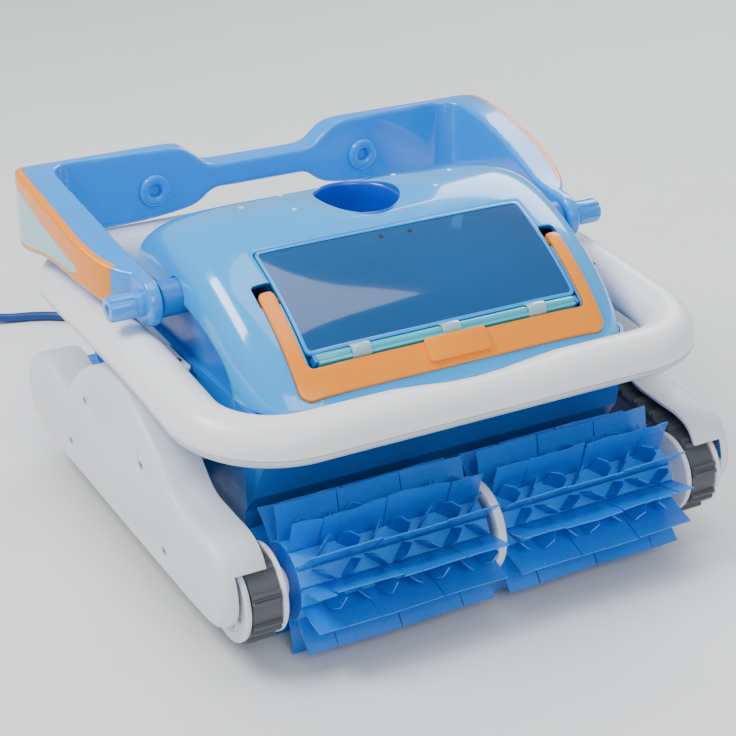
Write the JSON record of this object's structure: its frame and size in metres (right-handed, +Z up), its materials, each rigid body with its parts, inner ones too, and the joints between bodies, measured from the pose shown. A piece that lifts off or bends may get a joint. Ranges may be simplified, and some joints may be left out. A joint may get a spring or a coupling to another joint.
{
  "type": "robotic pool cleaner",
  "caption": "Tracked pool cleaning robot: finned roller brushes, filter cassette under a clear hinged lid, float bumper, swinging handle and coiled floating cable.",
  "frame": {"origin": "on the ground, midway between the two axles and on the middle plane", "axes": "+Z up; -Y to the front, where the filter cassette is; X along the axles, with the cable's exit on the -X side"},
  "size_m": [0.4953, 0.7282, 0.268],
  "materials": {
    "shell": "glossy light blue moulding",
    "hull": "deep blue moulding",
    "duct": "deep saturated blue moulding",
    "clear": "blue transparent moulding, 2.5 mm",
    "teal": "teal moulded pin",
    "orange": "orange moulding",
    "bumper": "white satin moulding",
    "cover": "pale grey satin moulding",
    "belt": "dark grey rubber",
    "wheel": "off-white moulding",
    "brush": "blue soft elastomer",
    "handle": "light blue moulding",
    "handle_window": "pale translucent teal moulding",
    "motor": "dark sealed housing",
    "steel": "stainless steel",
    "mesh": "fine woven filter cloth in a frame",
    "foam": "closed-cell float foam, blue skin",
    "cable": "dark blue floating cable jacket"
  },
  "bodies": {
    "chassis": {"top_shell": "shell", "lower_hull": "hull", "base_plate": "hull", "outlet_duct": "duct", "pump_motor": "motor", "control_box": "motor", "drive_motor_right": "motor", "drive_motor_left": "motor", "bumper_upper": "bumper", "bumper_lower": "bumper", "bumper_bracket_right": "bumper", "bumper_bracket_left": "bumper", "front_axle": "steel", "rear_axle": "steel", "front_centre_ring": "bumper", "rear_centre_ring": "bumper", "track_belt_right": "belt", "track_belt_left": "belt", "side_cover_right": "cover", "side_cover_left": "cover", "cover_screw_1_right": "steel", "cover_screw_1_left": "steel", "cover_screw_2_right": "steel", "cover_screw_2_left": "steel", "cover_screw_3_right": "steel", "cover_screw_3_left": "steel", "cover_screw_4_right": "steel", "cover_screw_4_left": "steel", "cable_gland": "cable", "cable_coil": "cable", "cable_lead": "cable", "cable_tail": "cable", "cable_connector": "motor"},
    "impeller": {"impeller": "wheel"},
    "cassette": {"filter_basket": "hull", "filter_mesh": "mesh", "lid_hinge_bar": "teal"},
    "lid": {"window_lid": "clear"},
    "bail": {"filter_bail": "orange"},
    "flap_front": {"inlet_flap_front": "belt"},
    "flap_rear": {"inlet_flap_rear": "belt"},
    "handle": {"handle_frame": "handle", "handle_trim_right": "orange", "handle_trim_left": "orange", "handle_window_right": "handle_window", "handle_window_left": "handle_window", "handle_float_right": "foam", "handle_float_left": "foam"},
    "knob_right": {"knob_right": "handle"},
    "knob_left": {"knob_left": "handle"},
    "roller_front_right": {"front_brush_right": "brush", "front_wheel_right": "wheel"},
    "roller_front_left": {"front_brush_left": "brush", "front_wheel_left": "wheel"},
    "roller_rear_right": {"rear_brush_right": "brush", "rear_wheel_right": "wheel"},
    "roller_rear_left": {"rear_brush_left": "brush", "rear_wheel_left": "wheel"},
    "sprocket_right": {"drive_sprocket_right": "wheel"},
    "sprocket_left": {"drive_sprocket_left": "wheel"}
  },
  "joints": [
    {"name": "handle_swing", "type": "hinge", "parent": "chassis", "child": "handle", "pos_m": [0, 0.005, 0.218], "axis": [1, 0, 0], "range_deg": [0, 90]},
    {"name": "knob_turn_right", "type": "hinge", "parent": "chassis", "child": "knob_right", "pos_m": [0.2, 0.005, 0.218], "axis": [1, 0, 0], "range_deg": [0, 90]},
    {"name": "knob_turn_left", "type": "hinge", "parent": "chassis", "child": "knob_left", "pos_m": [-0.2, 0.005, 0.218], "axis": [1, 0, 0], "range_deg": [0, 90]},
    {"name": "cassette_lift", "type": "slide", "parent": "chassis", "child": "cassette", "axis": [0, -0.4617, 0.887], "range_m": [0, 0.15]},
    {"name": "lid_hinge", "type": "hinge", "parent": "cassette", "child": "lid", "pos_m": [0, -0.12109, 0.20409], "axis": [1, 0, 0], "range_deg": [0, 90]},
    {"name": "bail_swing", "type": "hinge", "parent": "cassette", "child": "bail", "pos_m": [0, -0.06713, 0.23037], "axis": [-1, 0, 0], "range_deg": [0, 95]},
    {"name": "impeller_spin", "type": "hinge", "parent": "chassis", "child": "impeller", "pos_m": [0, 0.0247, 0.196], "axis": [0, 0, 1], "continuous": true},
    {"name": "flap_front_swing", "type": "hinge", "parent": "chassis", "child": "flap_front", "pos_m": [0, -0.055, 0.0313], "axis": [-1, 0, 0], "range_deg": [0, 60]},
    {"name": "flap_rear_swing", "type": "hinge", "parent": "chassis", "child": "flap_rear", "pos_m": [0, 0.055, 0.0313], "axis": [1, 0, 0], "range_deg": [0, 60]},
    {"name": "roller_front_right_spin", "type": "hinge", "parent": "chassis", "child": "roller_front_right", "pos_m": [0.17, -0.17, 0.05725], "axis": [1, 0, 0], "continuous": true},
    {"name": "roller_rear_right_spin", "type": "hinge", "parent": "chassis", "child": "roller_rear_right", "pos_m": [0.17, 0.17, 0.05725], "axis": [1, 0, 0], "continuous": true},
    {"name": "sprocket_right_spin", "type": "hinge", "parent": "chassis", "child": "sprocket_right", "pos_m": [0.2, 0, 0.082], "axis": [1, 0, 0], "continuous": true},
    {"name": "roller_front_left_spin", "type": "hinge", "parent": "chassis", "child": "roller_front_left", "pos_m": [-0.17, -0.17, 0.05725], "axis": [1, 0, 0], "continuous": true},
    {"name": "roller_rear_left_spin", "type": "hinge", "parent": "chassis", "child": "roller_rear_left", "pos_m": [-0.17, 0.17, 0.05725], "axis": [1, 0, 0], "continuous": true},
    {"name": "sprocket_left_spin", "type": "hinge", "parent": "chassis", "child": "sprocket_left", "pos_m": [-0.2, 0, 0.082], "axis": [1, 0, 0], "continuous": true}
  ],
  "couplings": [
    {"joint": "roller_rear_right_spin", "follows": "roller_front_right_spin", "ratio": 1},
    {"joint": "sprocket_right_spin", "follows": "roller_front_right_spin", "ratio": 1.3478},
    {"joint": "roller_rear_left_spin", "follows": "roller_front_left_spin", "ratio": 1},
    {"joint": "sprocket_left_spin", "follows": "roller_front_left_spin", "ratio": 1.3478}
  ]
}
